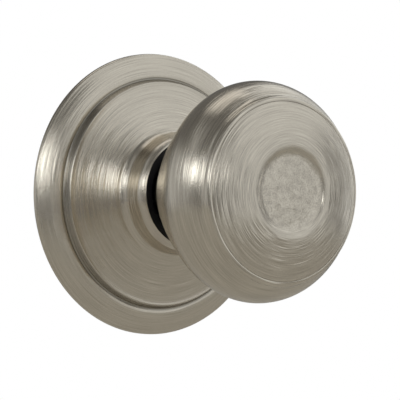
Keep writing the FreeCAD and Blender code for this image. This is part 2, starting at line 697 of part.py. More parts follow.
def drive_sleeve():
    """Steel sleeve: carries the knob in front and the cam behind, and takes the spindle."""
    body = node("drive_sleeve")
    turned(body, [
        ("0", "-sleeve_back"),
        ("sleeve_radius", "-sleeve_back"),
        ("sleeve_radius", "-groove_back"),
        ("groove_radius", "-groove_back"),
        ("groove_radius", "-groove_front"),
        ("sleeve_radius", "-groove_front"),
        ("sleeve_radius", "shoulder_back"),
        ("shoulder_radius", "shoulder_back"),
        ("shoulder_radius", "shoulder_front"),
        ("sleeve_radius", "shoulder_front"),
        ("sleeve_radius", "sleeve_front"),
        ("sleeve_bore", "sleeve_front"),
        ("sleeve_bore", "sleeve_web"),
        ("0", "sleeve_web"),
    ])
    pad(body, lambda where: rectangle(where, "-key_radius", "-key_root",
                                      "-key_width / 2", "key_width / 2"),
        "key_back", "key_front - key_back")

    reach = "sleeve_radius + overcut"

    def flats(where):
        rectangle(where, "-sleeve_radius", "sleeve_radius", "flat_offset", reach)
        rectangle(where, "-sleeve_radius", "sleeve_radius", "-(%s)" % reach, "-flat_offset")
    pocket(body, flats, "-flat_front", "sleeve_back - flat_front + overcut")
    pocket(body, lambda where: d_section(where, "(spindle_radius + spindle_play)",
                                         "(spindle_flat + spindle_play)"),
           "spindle_front + spindle_play * 2", "spindle_front + sleeve_back + overcut")
    side_pocket(body, lambda where: rectangle(where, "-window_front", "-window_back",
                                              "-window_half", "window_half"), reach)
    for side in ("", "-"):
        side_pocket(body, lambda where: circle(where, "-pin_forward", "0", "pin_radius"),
                    side + "(%s)" % reach)


def d_section(where, radius, flat):
    """A round section with a flat on top."""
    corner = "sqrt(%s ^ 2 - %s ^ 2)" % (radius, flat)
    draw(where, [
        ("-" + corner, flat, radius, 1),
        ("0", "-" + radius, radius, 1),
        (corner, flat),
    ])


def thrust_washer():
    """Washer between the bushing and the sleeve's shoulder."""
    washer("thrust_washer", "thrust_radius", "washer_bore", "thrust_front", "thrust_back")


def end_washer():
    """Washer between the cage and the retaining ring."""
    washer("end_washer", "end_radius", "washer_bore", "-end_front", "-end_back")


def retaining_ring():
    """Clip ring in the sleeve's groove, open on one side."""
    body = washer("retaining_ring", "ring_radius", "ring_bore", "-ring_front", "-ring_back")
    pocket(body, lambda where: rectangle(where, "0", "ring_radius + overcut",
                                         "-ring_gap_half", "ring_gap_half"),
           "-ring_front + overcut", "ring_back - ring_front + overcut * 2")


def drive_cam():
    """Stamped cam: stop arm on top, and a tab below that is bent back between the spring's legs."""
    body = node("drive_cam")
    thickness = "cam_back - cam_front"
    pad(body, lambda where: circle(where, "0", "0", "cam_radius"), "-cam_back", thickness)
    pad(body, lambda where: rectangle(where, "-cam_arm_half", "cam_arm_half",
                                      "cam_root", "cam_arm"), "-cam_back", thickness)
    pad(body, lambda where: rectangle(where, "-cam_tab_half", "cam_tab_half",
                                      "-cam_tab_outer", "-cam_root"), "-cam_back", thickness)
    pad(body, lambda where: rectangle(where, "-cam_tab_half", "cam_tab_half",
                                      "-cam_tab_outer", "-cam_tab_inner"),
        "-cam_tab_back", "cam_tab_back - cam_front")

    def bore(where):
        side = "sqrt(cam_bore ^ 2 - cam_flat ^ 2)"
        draw(where, [
            (side, "-cam_flat", "cam_bore", 1),
            (side, "cam_flat"),
            ("-" + side, "cam_flat", "cam_bore", 1),
            ("-" + side, "-cam_flat"),
        ])
    pocket(body, bore, "-cam_front + overcut", "cam_back - cam_front + overcut * 2")


def spindle():
    """D-section bar that reaches through the latch."""
    body = node("spindle")
    reach = "spindle_radius + overcut"
    turned(body, [
        ("0", "-spindle_back"),
        ("spindle_radius - spindle_chamfer", "-spindle_back"),
        ("spindle_radius", "-spindle_back + spindle_chamfer"),
        ("spindle_radius", "spindle_front"),
        ("0", "spindle_front"),
    ])
    pocket(body, lambda where: rectangle(where, "-(%s)" % reach, reach, "spindle_flat", reach),
           "spindle_front + overcut", "spindle_front + spindle_back + overcut * 2")
    for side in ("", "-"):
        side_pocket(body, lambda where: circle(where, "-pin_forward", "0", "pin_radius"),
                    side + "(%s)" % reach)


def spindle_pin():
    """Cross pin through sleeve and spindle, trapped by the bushing."""
    body = node("spindle_pin")
    where = sketch(body, "YZ_Plane")
    circle(where, "-pin_forward", "0", "pin_radius - press_gap")
    made = body.newObject("PartDesign::Pad", "spindle_pin_pad")
    made.Profile = where
    made.Midplane = True
    bind(made, "Length", "pin_half * 2")


def knob_shank():
    """Steel tube in the knob's neck, with the catch's window, the keyway and a flange."""
    body = node("knob_shank")
    turned(body, [
        ("shank_bore", "shank_back"),
        ("shank_radius", "shank_back"),
        ("shank_radius", "shank_front - shank_flange_wall"),
        ("shank_flange", "shank_front - shank_flange_wall"),
        ("shank_flange", "shank_front"),
        ("shank_bore", "shank_front"),
    ])
    side_pocket(body, lambda where: rectangle(where, "-window_front", "-window_back",
                                              "-shank_catch_half", "shank_catch_half"),
                "shank_radius + overcut")
    side_pocket(body, lambda where: rectangle(where, "-keyway_front", "-shank_back + overcut",
                                              "-keyway_half", "keyway_half"),
                "-(shank_radius + overcut)")


def knob_stiffener():
    """Pressed hat that stays inside the knob and carries the shell and the cap."""
    body = node("knob_stiffener")
    turned(body, [
        ("stiff_radius - stiff_wall", "stiff_back"),
        ("stiff_radius", "stiff_back"),
        ("stiff_radius", "stiff_disc - stiff_wall", "stiff_wall", 1),
        ("stiff_radius - stiff_wall", "stiff_disc"),
        ("stiff_foot + stiff_wall / 2", "stiff_disc"),
        ("stiff_top + stiff_wall / 2", "stiff_front"),
        ("stiff_middle", "stiff_front"),
        ("stiff_middle", "stiff_front - stiff_wall"),
        ("stiff_top - stiff_wall / 2", "stiff_front - stiff_wall"),
        ("stiff_foot - stiff_wall / 2", "stiff_disc - stiff_wall"),
        ("stiff_radius - stiff_wall", "stiff_disc - stiff_wall"),
    ])
    hole = pocket(body, lambda where: circle(where, "stiff_hole_circle", "0", "stiff_hole"),
                  "stiff_disc + overcut", "stiff_wall + overcut * 2")
    around(body, hole, LIGHTENING_HOLES)


def knob_rear_shell():
    """Spun shell: neck, back cone, equator, shoulder and the bead rolled on to the cap."""
    body = node("knob_rear_shell")
    back_centre = "(equator_radius - equator_back_round)"
    front_centre = "(equator_radius - equator_front_round)"
    back_lean = "(back_end - %s) / equator_back_round" % back_centre
    back_slope = "(equator_forward - back_end_forward) / equator_back_round"
    front_lean = "(shoulder_end - %s) / equator_front_round" % front_centre
    front_slope = "(shoulder_end_forward - equator_forward) / equator_front_round"
    turned(body, [
        ("neck_radius - knob_wall", "neck_back"),
        ("neck_radius", "neck_back"),
        ("neck_radius", "neck_front"),
        ("neck_kink", "neck_kink_forward", "back_bulge", 1),
        ("back_end", "back_end_forward", "equator_back_round", 1),
        ("equator_radius", "equator_forward", "equator_front_round", 1),
        ("shoulder_end", "shoulder_end_forward"),
        ("bead_foot", "bead_foot_forward", "bead_round", 1),
        ("bead_inner", "bead_inner_forward"),
        ("bead_inner", "lip_back"),
        ("shoulder_end - knob_wall * %s" % front_lean,
         "shoulder_end_forward - knob_wall * %s" % front_slope,
         "equator_front_round - knob_wall", -1),
        ("equator_radius - knob_wall", "equator_forward", "equator_back_round - knob_wall", -1),
        ("back_end - knob_wall * %s" % back_lean,
         "back_end_forward + knob_wall * %s" % back_slope, "back_bulge - knob_wall", -1),
        ("neck_inner_kink", "neck_inner_forward"),
        ("neck_radius - knob_wall", "neck_inner_front"),
    ])
    side_pocket(body, lambda where: circle(where, "-release_forward", "0", "release_hole"),
                "release_reach")


def knob_face_cap():
    """Pressed cap with a shallow dish, held by the shell's bead."""
    body = node("knob_face_cap")
    # the floor is part of a sphere, centred on the knob's axis
    rise = "(dish_middle - dish_foot_forward)"
    floor_bulge = "(dish_foot ^ 2 + %s ^ 2) / (2 * %s)" % (rise, rise)
    turned(body, [
        ("cap_radius - knob_wall", "cap_skirt_back"),
        ("cap_radius", "cap_skirt_back"),
        ("cap_radius", "cap_edge - cap_edge_round", "cap_edge_round", 1),
        ("cap_radius - cap_edge_round", "cap_edge", "cap_bulge", 1),
        ("dish_rim", "dish_rim_forward", "dish_rim_round", 1),
        ("dish_wall", "dish_wall_forward"),
        ("dish_fillet_radius", "dish_fillet_forward", "dish_fillet", -1),
        ("dish_foot", "dish_foot_forward", floor_bulge, 1),
        ("0", "dish_middle"),
        ("0", "dish_middle - knob_wall"),
        ("dish_under", "dish_foot_forward - knob_wall"),
        ("dish_rim", "dish_rim_forward - knob_wall", "cap_bulge - knob_wall", -1),
        ("cap_radius - knob_wall", "cap_edge - knob_wall"),
    ])


def knob_catch():
    """Sprung catch in the sleeve's window. Its foot keeps it in."""
    body = node("knob_catch")
    for back, front, half, top in (
            ("catch_foot_back", "catch_foot_front", "catch_foot_half", "catch_foot_top"),
            ("catch_back", "catch_front", "catch_half", "catch_tip")):
        where = sketch(body, "YZ_Plane", "catch_foot")
        rectangle(where, "-" + front, "-" + back, "-" + half, half)
        block = body.newObject("PartDesign::Pad", "knob_catch_block")
        block.Profile = where
        bind(block, "Length", "%s - catch_foot" % top)
    doc.recompute()
    tip = number("catch_tip")
    edges = ["Edge%d" % (index + 1) for index, edge in enumerate(block.Shape.Edges)
             if all(abs(vertex.X - tip) < SAME_PLACE for vertex in edge.Vertexes)]
    rounding = body.newObject("PartDesign::Fillet", "knob_catch_fillet")
    rounding.Base = (block, edges)
    bind(rounding, "Radius", "catch_round")


def catch_spring():
    """Compression spring across the sleeve's bore, under the catch."""
    back = number("catch_spring_back")
    length = back + number("catch_spring_front")
    pitch = number("catch_spring_pitch")
    made = doc.addObject("Part::Feature", "catch_spring")
    made.Label = "catch_spring"
    made.Shape = coil(number("catch_spring_circle"), number("catch_spring_wire"), pitch,
                      length / pitch, 0)
    made.Placement = FreeCAD.Placement(
        FreeCAD.Vector(-back, -number("release_forward"), 0),
        FreeCAD.Rotation(FreeCAD.Vector(0, 1, 0), 90))
    NODES.append(made)


# ---- build, check and write ----------------------------------------------------------------

FIXED = (rose_cover, mounting_plate, bearing_hub, hub_bushing, screw_posts, spring_cage,
         cage_rivets, stop_pins, rose_clips, clip_rivets, spring_spool, return_spring)
TURNING = (drive_sleeve, thrust_washer, drive_cam, end_washer, retaining_ring, spindle,
           spindle_pin, knob_shank, knob_stiffener, knob_rear_shell, knob_face_cap,
           knob_catch, catch_spring)

for make in FIXED + TURNING:
    make()
doc.recompute()

failed = [item.Name for item in doc.Objects
          if "Invalid" in item.State or "Error" in item.State]
if failed:
    raise RuntimeError("failed objects: " + ", ".join(failed))
for item in NODES:
    if item.Shape.isNull() or not item.Shape.isValid():
        raise RuntimeError("bad shape: " + item.Label)

os.makedirs("parts", exist_ok=True)
for item in NODES:
    item.Shape.exportStep("parts/%s.step" % item.Label)
    box = item.Shape.optimalBoundingBox()
    print("%-16s solids %d volume %9.2f  x %6.2f %6.2f  y %6.2f %6.2f  z %6.2f %6.2f" % (
        item.Label, len(item.Shape.Solids), item.Shape.Volume,
        box.XMin, box.XMax, box.YMin, box.YMax, box.ZMin, box.ZMax))
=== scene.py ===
import math

import bpy
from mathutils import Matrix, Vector


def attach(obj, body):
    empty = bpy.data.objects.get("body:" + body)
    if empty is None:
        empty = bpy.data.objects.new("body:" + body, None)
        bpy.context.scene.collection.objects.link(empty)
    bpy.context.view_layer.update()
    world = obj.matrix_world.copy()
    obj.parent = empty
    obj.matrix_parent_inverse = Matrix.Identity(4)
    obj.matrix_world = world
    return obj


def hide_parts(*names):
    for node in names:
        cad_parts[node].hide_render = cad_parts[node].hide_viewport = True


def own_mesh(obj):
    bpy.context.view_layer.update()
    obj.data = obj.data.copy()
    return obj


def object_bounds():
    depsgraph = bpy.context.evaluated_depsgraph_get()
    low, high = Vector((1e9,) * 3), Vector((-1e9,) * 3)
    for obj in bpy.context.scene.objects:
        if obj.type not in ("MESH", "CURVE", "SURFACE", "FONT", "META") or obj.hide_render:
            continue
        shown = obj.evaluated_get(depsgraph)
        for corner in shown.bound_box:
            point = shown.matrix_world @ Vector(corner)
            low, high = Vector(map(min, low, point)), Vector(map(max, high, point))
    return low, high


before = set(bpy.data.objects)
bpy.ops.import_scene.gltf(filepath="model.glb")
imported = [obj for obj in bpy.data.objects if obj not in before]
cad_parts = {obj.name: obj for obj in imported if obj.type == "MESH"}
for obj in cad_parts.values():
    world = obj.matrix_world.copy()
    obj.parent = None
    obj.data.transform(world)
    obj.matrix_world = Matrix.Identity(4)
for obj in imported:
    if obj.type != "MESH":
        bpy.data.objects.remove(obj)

cad_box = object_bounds()

# ------------------------------------------------------------------------------------------
# The camera looks at the knob from its left side, level with it, as someone does who stands
# beside the door and is about to take hold of it.

camera_azimuth = math.radians(-35.98)
camera_elevation = math.radians(-0.61)
camera_distance = 0.4617
camera_lens = 171.0
camera_aim = Vector((0.0091, -0.0065, -0.00145))

towards_camera = Vector((
    math.sin(camera_azimuth) * math.cos(camera_elevation),
    -math.cos(camera_azimuth) * math.cos(camera_elevation),
    math.sin(camera_elevation)))
camera_data = bpy.data.cameras.new("camera")
camera_data.lens = camera_lens
camera_data.sensor_width = 36.0
camera_data.clip_start = 0.01
camera = bpy.data.objects.new("camera", camera_data)
camera.location = camera_aim + towards_camera * camera_distance
camera.rotation_euler = towards_camera.to_track_quat("Z", "Y").to_euler()
bpy.context.scene.collection.objects.link(camera)
bpy.context.scene.camera = camera


# ------------------------------------------------------------------------------------------
# The studio: a pale floor below, a white surround, softboxes left and right of the knob, a lamp
# on each side of the camera, pale walls, panels high on the right, and a lamp for the floor.

class Shade:
    """A socket of a material. Sums, products and the like on it add their own Math nodes."""

    def __init__(self, tree, socket=None):
        self.tree = tree
        self.socket = socket

    def add(self, kind, settings=None, out=0, **values):
        """A node of that kind: its settings first, then its sockets, by name or as i0, i1, ..."""
        node = self.tree.nodes.new("ShaderNode" + kind)
        for name, value in (settings or {}).items():
            setattr(node, name, value)
        for name, value in values.items():
            words = name.replace("_", " ")
            socket = node.inputs[int(name[1:])] if name[1:].isdigit() else node.inputs[words]
            self.join(value, socket)
        return Shade(self.tree, node.outputs[out]) if len(node.outputs) else None

    def join(self, value, socket):
        """Links or sets a socket."""
        if isinstance(value, Shade):
            self.tree.links.new(value.socket, socket)
        elif socket.type == "RGBA":
            socket.default_value = (*value, 1.0)
        else:
            socket.default_value = value

    def math(self, operation, *values):
        """A Math node on the values, in their order."""
        named = {"i%d" % place: value for place, value in enumerate(values)}
        return self.add("Math", {"operation": operation}, **named)

    def vector(self, operation, *values, out=0, **named):
        """A Vector Math node on the values, in their order, and on sockets by name."""
        named.update({"i%d" % place: value for place, value in enumerate(values)})
        return self.add("VectorMath", {"operation": operation}, out=out, **named)

    def part(self, axis):
        """The x, y or z of a vector or colour, for an axis of 0, 1 or 2."""
        return self.add("SeparateXYZ", out=axis, i0=self)

    def mix(self, share, first, second):
        """The first colour where share is nought, the second where it is one."""
        return self.add("Mix", {"data_type": "RGBA"}, out=2, i0=share, i6=first, i7=second)

    def step(self, low, high):
        """Nought below low, one above high, smooth between."""
        return self.add("MapRange", {"interpolation_type": "SMOOTHSTEP"},
                        Value=self, From_Min=low, From_Max=high)

    def __add__(self, other):
        return self.math("ADD", self, other)

    def __sub__(self, other):
        return self.math("SUBTRACT", self, other)

    def __rsub__(self, other):
        return self.math("SUBTRACT", other, self)

    def __mul__(self, other):
        return self.math("MULTIPLY", self, other)

    __radd__ = __add__
    __rmul__ = __mul__


floor_drop = 0.20
floor_radius = 1.1
floor_sides = 96
floor_roughness = 0.7
floor_colour = (0.80, 0.76, 0.69)
surround_colour = (1.0, 1.0, 1.0)

bpy.ops.object.select_all(action="DESELECT")
bpy.ops.mesh.primitive_circle_add(
    vertices=floor_sides, radius=floor_radius, fill_type="NGON",
    location=(0, 0, cad_box[0][2] - floor_drop))
floor = bpy.context.active_object
floor.name = "floor"
floor_material = bpy.data.materials.new("floor")
floor_material.use_nodes = True
floor_shader = floor_material.node_tree.nodes["Principled BSDF"]
floor_shader.inputs["Base Color"].default_value = (*floor_colour, 1)
floor_shader.inputs["Roughness"].default_value = floor_roughness
floor.data.materials.append(floor_material)

light_colour = (0.95, 1.0, 1.06)
room_light = (0.15, 0.15, 0.15)

# each light: what it is, its edges in degrees to the right of straight ahead of the knob, its
# edges in degrees above the knob, how bright it is and how soft its edges are
studio_lights = (
    ("softbox on the left", (-98, -76), (-15, 60), 0.4, 5),
    ("lamp within it", (-98, -76), (10, 26), 1.5, 4),
    ("lamp to the left of the camera", (-68, -52), (10, 24), 4.0, 4),
    ("lamp to the right of the camera", (-36, -14), (6, 20), 3.5, 4),
    ("pale wall in front", (0, 60), (-15, 20), 0.55, 6),
    ("panel over the right front", (0, 90), (20, 65), 0.65, 7),
    ("softbox on the right", (80, 122), (-25, 26), 1.0, 7),
    ("panel high behind the right", (98, 128), (30, 78), 1.0, 7),
    ("pale wall behind the left", (-150, -108), (-12, 30), 0.45, 8),
)

world = bpy.data.worlds.new("studio")
world.use_nodes = True
bpy.context.scene.world = world
sky = Shade(world.node_tree)
world.node_tree.nodes.clear()
way = sky.add("TexCoord")
rightward = sky.math("ARCTAN2", way.part(0), way.part(1) * -1) * math.degrees(1)
upward = sky.math("ARCSINE", way.part(2)) * math.degrees(1)
light = room_light
for _, sideways, upright, strength, soft in studio_lights:
    turned_on = rightward.step(sideways[0] - soft, sideways[0] + soft)
    turned_on *= 1 - rightward.step(sideways[1] - soft, sideways[1] + soft)
    turned_on *= upward.step(upright[0] - soft, upright[0] + soft)
    turned_on *= 1 - upward.step(upright[1] - soft, upright[1] + soft)
    glow = sky.vector("SCALE", light_colour, Scale=turned_on * strength)
    light = sky.vector("ADD", light, glow)
seen = sky.add("LightPath")
white = sky.add("Background", Color=surround_colour, Strength=1.0)
room = sky.add("Background", Color=light, Strength=1.0)
sky.add("OutputWorld", i0=sky.add("MixShader", i0=seen, i1=room, i2=white))
bpy.context.scene.view_settings.view_transform = "Standard"

floor_lamp_height = 0.90
floor_lamp_behind = 0.15
floor_lamp_size = 0.5
floor_lamp_power = 0.6
lamp_data = bpy.data.lights.new("floor_lamp", "AREA")
lamp_data.size = floor_lamp_size
lamp_data.energy = floor_lamp_power
lamp = bpy.data.objects.new("floor_lamp", lamp_data)
lamp.location = (0, floor_lamp_behind, floor_lamp_height)
bpy.context.scene.collection.objects.link(lamp)


# ------------------------------------------------------------------------------------------
# The rose is pressed from steel sheet, brushed while it turns and plated in satin nickel: a
# crowned rim, a slanted step, a hollow cone and a collar whose lip is rolled over. Four leaf
# clips behind it hold it on the plate.

def arc(start, end, radius, side, steps):
    """Points of an arc from start, without it, to end. Side 1 bulges to the right of the way."""
    start, end = Vector(start), Vector(end)
    chord = end - start
    across = Vector((chord.y, -chord.x)).normalized() * side
    centre = (start + end) / 2 - across * math.sqrt(radius ** 2 - (chord.length / 2) ** 2)
    first, last = start - centre, end - centre
    turn = math.atan2(first.x * last.y - first.y * last.x, first.dot(last))
    points = []
    for step in range(1, steps + 1):
        angle = turn * step / steps
        points.append(centre + Vector((
            first.x * math.cos(angle) - first.y * math.sin(angle),
            first.x * math.sin(angle) + first.y * math.cos(angle))))
    return points


def outline(corners):
    """The points of a closed outline, in metres. A corner is (radius, forward) in millimetres, or
    (radius, forward, bend, side, steps), where the run that leaves it is an arc."""
    points = []
    for here, following in zip(corners, corners[1:] + corners[:1]):
        if len(here) > 2:
            points += arc(here[:2], following[:2], *here[2:])
        else:
            points.append(Vector(following[:2]))
    return [point / 1000 for point in points[-1:] + points[:-1]]


turned_sides = 256
first_point_size = 0.001
merge_distance = 1e-6
smooth_angle = math.radians(35)


def turned(name, corners):
    """Spins an outline of (radius, forward) about the knob's axis."""
    points = outline(corners)
    bpy.ops.object.select_all(action="DESELECT")
    bpy.ops.mesh.primitive_plane_add(
        size=first_point_size, location=(points[0].x, -points[0].y, 0))
    piece = bpy.context.active_object
    piece.name = name
    bpy.ops.object.mode_set(mode="EDIT")
    bpy.ops.mesh.select_all(action="SELECT")
    bpy.ops.mesh.merge(type="CENTER")
    for before, point in zip(points, points[1:]):
        step = (point.x - before.x, before.y - point.y, 0)
        bpy.ops.mesh.extrude_region_move(TRANSFORM_OT_translate={"value": step})
    bpy.ops.object.mode_set(mode="OBJECT")
    for edge in piece.data.edges:
        edge.select = False
    for vertex in piece.data.vertices:
        vertex.select = vertex.index in (0, len(points) - 1)
    bpy.ops.object.mode_set(mode="EDIT")
    bpy.ops.mesh.edge_face_add()
    bpy.ops.mesh.select_all(action="SELECT")
    bpy.ops.mesh.spin(steps=turned_sides, angle=2 * math.pi, center=(0, 0, 0), axis=(0, 1, 0))
    bpy.ops.mesh.select_all(action="SELECT")
    bpy.ops.mesh.remove_doubles(threshold=merge_distance)
    bpy.ops.mesh.normals_make_consistent(inside=False)
    bpy.ops.object.mode_set(mode="OBJECT")
    bpy.ops.object.transform_apply(location=True, rotation=True, scale=True)
    bpy.ops.object.shade_smooth_by_angle(angle=smooth_angle)
    return piece


def stands_for(piece, node, body, material):
    """The piece takes the place of a node of the frame, with its own material."""
    piece.data.materials.clear()
    piece.data.materials.append(material)
    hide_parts(node)
    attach(piece, body)


def new_material(name):
    """An empty material and the Shade that adds nodes to it."""
    material = bpy.data.materials.new(name)
    material.use_nodes = True
    material.node_tree.nodes.clear()
    return material, Shade(material.node_tree)


def noise(shade, place, size, detail=2.0, stretch=(1, 1, 1)):
    """Noise about nought. Size is that of its features in millimetres; a stretch below one draws
    them out along that axis."""
    drawn_out = shade.vector("MULTIPLY", place, stretch)
    return shade.add("TexNoise", Vector=drawn_out, Scale=1000 / size, Detail=detail) - 0.5


nickel_dark = (0.49, 0.44, 0.36)
nickel_light = (0.74, 0.67, 0.55)
# painted shade: the dark colour painted into the corner at the foot of the rose's step
painted_shade_colour = (0.13, 0.12, 0.10)
nickel_roughness = 0.25


def brushed_nickel(name, along, mottled=None, painted_shade=None):
    """Satin nickel, brushed while the piece turned. Along gives the place across the brush lines
    from the radius and the forward distance, in millimetres. Within the first radius of mottled
    the brush has not cut rings, past the second it has. The four radii of the last argument are
    those where painted shade in a corner starts to darken, is dark, starts to clear and is clear."""
    material, shade = new_material(name)
    place = shade.add("TexCoord", out=3)
    normal = shade.add("TexCoord", out=1)
    from_axis = shade.vector("MULTIPLY", place, (1, 0, 1))
    outward = shade.vector("NORMALIZE", from_axis)
    radius = shade.vector("LENGTH", from_axis, out=1) * 1000
    forward = place.part(1) * -1000
    across = along(radius, forward)

    def lines(fineness, length, detail):
        """Noise that runs in lines round the axis."""
        where = shade.vector("ADD", shade.vector("SCALE", outward, Scale=length),
                             shade.add("CombineXYZ", Y=across * fineness))
        return shade.add("TexNoise", Vector=where, Scale=1.0, Detail=detail) - 0.5

    hairline = lines(13.0, 2.2, 1.0)
    fine = lines(4.5, 2.0, 2.0)
    middle = lines(1.4, 1.3, 3.0)
    cloud = noise(shade, place, 9.0, 3.0)
    grain = noise(shade, place, 0.35)
    in_and_out = hairline * 0.85 + fine * 0.04 + middle * 0.015
    sideways = grain * 0.05
    tone = fine * 1.3 + middle * 0.25 + hairline * 2.2
    if mottled:
        ringed = radius.step(*mottled)
        blotch = noise(shade, place, 1.6)
        sideways += (1 - ringed) * noise(shade, place, 0.5, 1.0) * 0.5
        tone = ringed * tone + (1 - ringed) * (blotch * 1.8 + grain * 1.6)
    colour = shade.mix(tone + cloud * 0.30 + grain * 0.4 + 0.5, nickel_dark, nickel_light)
    # painted shade: the colour darkens in the corner at the foot of the rose's step, where shade
    # falls
    if painted_shade:
        corner = radius.step(painted_shade[0], painted_shade[1]) * (1 - radius.step(painted_shade[2], painted_shade[3]))
        colour = shade.mix(corner * (0.55 + middle * 0.6), colour, painted_shade_colour)

    # the grooves tip the surface in and out from the axis, hardly round it
    round_way = shade.vector("CROSS_PRODUCT", (0, 1, 0), outward)
    out_way = shade.vector("CROSS_PRODUCT", round_way, normal)
    tipped = shade.vector("ADD", shade.vector("SCALE", out_way, Scale=in_and_out),
                          shade.vector("SCALE", round_way, Scale=sideways))
    tipped = shade.vector("NORMALIZE", shade.vector("ADD", normal, tipped))
    to_world = {"vector_type": "NORMAL", "convert_from": "OBJECT", "convert_to": "WORLD"}
    world_normal = shade.add("VectorTransform", to_world, Vector=tipped)
    shader = shade.add(
        "BsdfPrincipled", Base_Color=colour, Metallic=1.0,
        Roughness=nickel_roughness + middle * 0.06 + cloud * 0.05, Normal=world_normal)
    shade.add("OutputMaterial", Surface=shader)
    return material


# radii in millimetres of the painted shade in the corner at the foot of the rose's step
step_painted_shade = (26.70, 27.20, 27.95, 28.35)
rose = turned("rose_cover_brushed", [
    (34.0, 0.0),
    (34.0, 0.45, 0.8, 1, 6),
    (33.44, 1.17, 16.0, 1, 12),
    (29.0, 2.98, 1.6, 1, 8),
    (27.95, 2.97, 0.4, -1, 6),
    (27.55, 3.25),
    (27.05, 4.40, 0.42, 1, 8),
    (26.55, 4.71, 60.0, -1, 14),
    (16.2, 8.35, 2.3, -1, 12),
    (14.4, 10.3),
    (13.95, 12.9, 2.3, 1, 14),
    (12.6, 15.06),
    (12.6, 13.91, 1.3, -1, 6),
    (12.95, 12.8),
    (13.4, 10.2, 3.3, 1, 8),
    (15.85, 7.4, 60.0, 1, 8),
    (25.75, 3.9),
    (27.5, 2.05, 15.0, -1, 8),
    (33.0, 0.75),
    (33.0, 0.0),
])
stands_for(rose, "rose_cover", "base",
           brushed_nickel("nickel_rose", lambda radius, forward: radius - forward,
                          painted_shade=step_painted_shade))


# ------------------------------------------------------------------------------------------
# The knob's rear shell is spun from such sheet too: neck, back cone and equator in one, with
# a bead rolled over the edge of the cap to hold it. A small hole in the right side of the neck
# lets a pin reach the catch inside.

shell = turned("knob_shell_brushed", [
    (9.0, 14.8),
    (9.8, 14.8, 0.2, 1, 3),
    (10.0, 15.0),
    (10.0, 16.1, 0.5, -1, 4),
    (10.3, 16.35, 130.0, 1, 40),
    (24.2, 38.3, 7.9, 1, 16),
    (25.06, 41.9, 9.5, 1, 28),
    (21.75, 49.02, 2.2, -1, 10),
    (21.15, 50.45, 1.1, 1, 16),
    (20.10, 51.10, 0.04, 1, 3),
    (20.06, 51.06),
    (20.06, 50.3),
    (20.92, 48.49, 8.5, -1, 10),
    (24.06, 41.9, 6.9, -1, 8),
    (23.31, 38.76, 129.0, -1, 12),
    (9.5, 16.9),
    (9.0, 16.3),
])
release_hole_radius = 0.0014
release_hole_forward = 0.0172
release_hole_reach = (0.0075, 0.0135)
release_hole_sides = 48


def pick(piece):
    """Selects that piece alone."""
    bpy.ops.object.select_all(action="DESELECT")
    piece.select_set(True)
    bpy.context.view_layer.objects.active = piece


bpy.ops.object.select_all(action="DESELECT")
bpy.ops.mesh.primitive_cylinder_add(
    vertices=release_hole_sides, radius=release_hole_radius,
    depth=release_hole_reach[1] - release_hole_reach[0],
    location=(sum(release_hole_reach) / 2, -release_hole_forward, 0),
    rotation=(0, math.pi / 2, 0))
drill = bpy.context.active_object
pick(shell)
drilled = shell.modifiers.new("release_hole", "BOOLEAN")
drilled.operation = "DIFFERENCE"
drilled.solver = "EXACT"
drilled.object = drill
bpy.ops.object.modifier_apply(modifier=drilled.name)
bpy.ops.object.shade_smooth_by_angle(angle=smooth_angle)
bpy.data.objects.remove(drill, do_unlink=True)
stands_for(shell, "knob_rear_shell", "knob",
           brushed_nickel("nickel_shell", lambda radius, forward: forward))


# ------------------------------------------------------------------------------------------
# The cap closes the knob in front: a disc pressed from the same sheet, with a low dome and a
# shallow dish, where the brush does not reach and the finish is mottled.

dish_mottled = (7.6, 9.4)
cap = turned("knob_cap_brushed", [
    (18.95, 48.6),
    (20.02, 48.6),
    (20.02, 51.05, 0.12, 1, 3),
    (19.92, 51.15, 42.0, 1, 30),
    (10.6, 53.78, 2.8, 1, 12),
    (9.2, 53.52, 4.0, -1, 12),
    (7.4, 53.10, 176.0, 1, 12),
    (0.0, 53.26),
    (0.0, 52.12),
    (8.1, 51.9),
    (10.3, 52.75, 41.0, -1, 8),
    (18.95, 50.15),
])
stands_for(cap, "knob_face_cap", "knob",
           brushed_nickel("nickel_cap", lambda radius, forward: radius,
                          mottled=dish_mottled))


# ------------------------------------------------------------------------------------------
# The mounting plate on the door, the spring cage riveted behind it and the hat inside the knob
# that carries shell and cap are pressed from zinc-plated steel sheet. All three keep the shape
# that they have in the frame.

relief_strength = 0.6


def finished(shade, colour, rough, height, depth, metal=1.0):
    """Ends a material: colour, roughness, and a relief of that depth in millimetres."""
    relief = shade.add("Bump", Height=height, Distance=depth / 1000,
                       Strength=relief_strength)
    shader = shade.add("BsdfPrincipled", Base_Color=colour, Metallic=metal, Roughness=rough,
                       Normal=relief)
    shade.add("OutputMaterial", Surface=shader)


def dressed(node, material):
    """A node of the frame keeps its shape and takes a better material."""
    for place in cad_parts[node].material_slots:
        place.material = material


